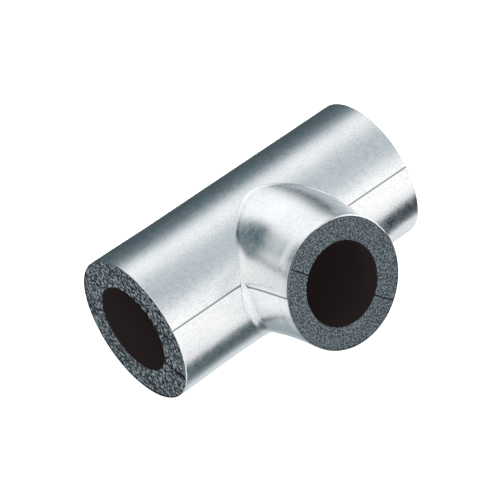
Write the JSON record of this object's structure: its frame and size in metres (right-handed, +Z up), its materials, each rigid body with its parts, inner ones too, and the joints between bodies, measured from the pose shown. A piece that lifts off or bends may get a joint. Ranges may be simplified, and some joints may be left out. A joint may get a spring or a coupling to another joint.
{
  "type": "pipe insulation tee",
  "caption": "Tee of slit closed-cell foam tube under a lapped metal foil laminate, which insulates a pipe run and the branch that leaves it.",
  "frame": {"origin": "where the axis of the run bore crosses the axis of the branch bore", "axes": "X along the run, the branch leaves along -Y, Z up; the tee lies on its side with both axes level"},
  "size_m": [0.198, 0.1458, 0.0986],
  "materials": {
    "foam": "matte",
    "foil": "satin"
  },
  "bodies": {
    "root": {"run_foam": "foam", "branch_foam_upper": "foam", "branch_foam_lower": "foam", "run_jacket": "foil", "branch_jacket": "foil"}
  },
  "joints": []
}
